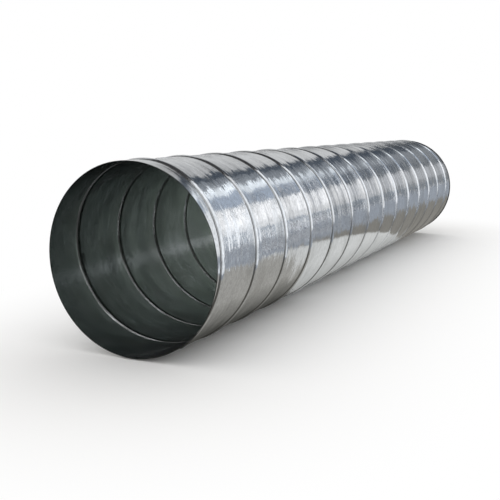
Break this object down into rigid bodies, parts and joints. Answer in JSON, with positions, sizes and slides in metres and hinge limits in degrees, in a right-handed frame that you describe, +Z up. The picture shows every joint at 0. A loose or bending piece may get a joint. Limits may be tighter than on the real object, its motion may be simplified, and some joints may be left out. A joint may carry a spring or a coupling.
{
  "type": "spiral duct section",
  "caption": "Straight round ventilation duct wound from galvanised steel strip, with a folded helical lock seam outside and square-cut open ends.",
  "frame": {"origin": "on the ground under the middle of the duct's length", "axes": "+Y along the duct from the near open end to the far one, +Z up, the duct lying on the crown of its seam"},
  "size_m": [0.2856, 1.5, 0.2855],
  "materials": {
    "galvanised_steel": "bright zinc coating with fine spangle, faint rolling lines along the strip and light handling smudges"
  },
  "bodies": {
    "root": {"spiral_duct": "galvanised_steel"}
  },
  "joints": []
}
